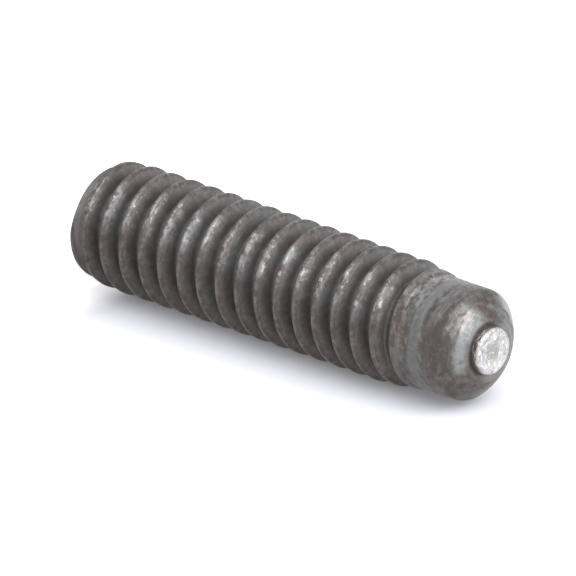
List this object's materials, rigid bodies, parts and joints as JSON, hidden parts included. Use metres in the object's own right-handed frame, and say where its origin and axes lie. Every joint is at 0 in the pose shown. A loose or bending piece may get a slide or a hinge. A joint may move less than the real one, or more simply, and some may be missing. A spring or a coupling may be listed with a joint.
{
  "type": "weld stud",
  "caption": "Fully threaded steel weld stud with a plain cone-ended weld end and an aluminium flux slug pressed into its tip.",
  "frame": {"origin": "centre of the flat threaded end, the end the stud stands on", "axes": "+Z along the stud's axis towards the weld end; X and Y lie across it"},
  "size_m": [0.0064, 0.0064, 0.0254],
  "materials": {
    "stud_body": "dark oxide, satin, rolled",
    "flux_slug": "satin, dimpled by pressing"
  },
  "bodies": {
    "root": {"stud_body": "stud_body", "flux_slug": "flux_slug"}
  },
  "joints": []
}
